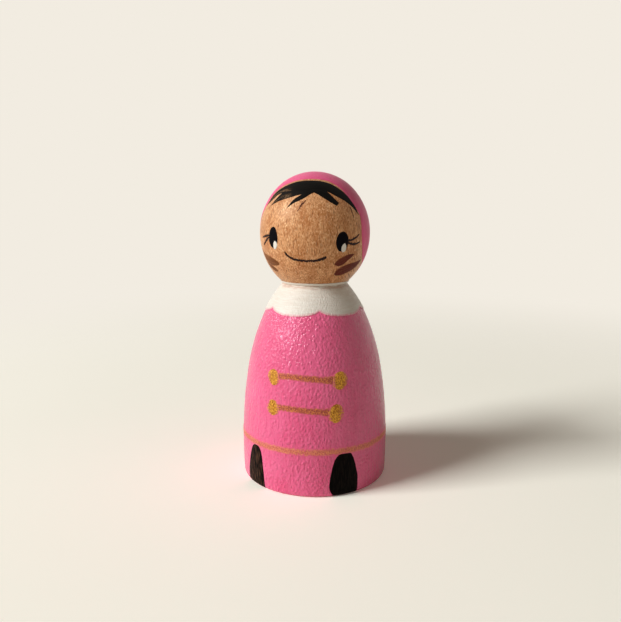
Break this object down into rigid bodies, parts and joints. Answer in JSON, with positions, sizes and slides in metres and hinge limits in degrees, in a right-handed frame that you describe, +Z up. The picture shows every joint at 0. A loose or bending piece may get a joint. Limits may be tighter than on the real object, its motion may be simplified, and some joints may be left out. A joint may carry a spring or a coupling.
{
  "type": "wooden peg doll",
  "caption": "Turned wooden peg doll with a bell-shaped body and egg-shaped head, painted with a hooded coat, collar, fringe and a smiling face.",
  "frame": {"origin": "centre of the flat base the doll stands on", "axes": "+Z up the turning axis, the doll faces -Y, +X towards the doll's own left"},
  "size_m": [0.0456, 0.0456, 0.0929],
  "materials": {
    "beech": "bare turned beech with fine vertical flecks, satin",
    "pink_paint": "brushed acrylic paint, satin, with fine brush ripples",
    "white_paint": "thick brushed acrylic paint, satin",
    "black_paint": "brushed acrylic paint, satin, dry-brushed at its ends",
    "brown_ink": "thin pen line, matt",
    "cheek_paint": "thin dry-brushed red-brown paint, matt",
    "gold_paint": "granular gold paint-marker line"
  },
  "bodies": {
    "root": {"turned_peg": "beech", "dress_coat": "pink_paint", "hood_coat": "pink_paint", "collar_coat": "white_paint", "hair_fringe": "black_paint", "hair_wisps": "brown_ink", "right_eye": "black_paint", "left_eye": "black_paint", "right_eye_glint": "white_paint", "left_eye_glint": "white_paint", "right_lashes": "brown_ink", "left_lashes": "brown_ink", "mouth": "brown_ink", "right_cheek_strokes": "cheek_paint", "left_cheek_strokes": "cheek_paint", "upper_frog_cord": "gold_paint", "upper_frog_knots": "gold_paint", "lower_frog_cord": "gold_paint", "lower_frog_knots": "gold_paint", "hem_line": "gold_paint", "right_boot": "black_paint", "left_boot": "black_paint"}
  },
  "joints": []
}
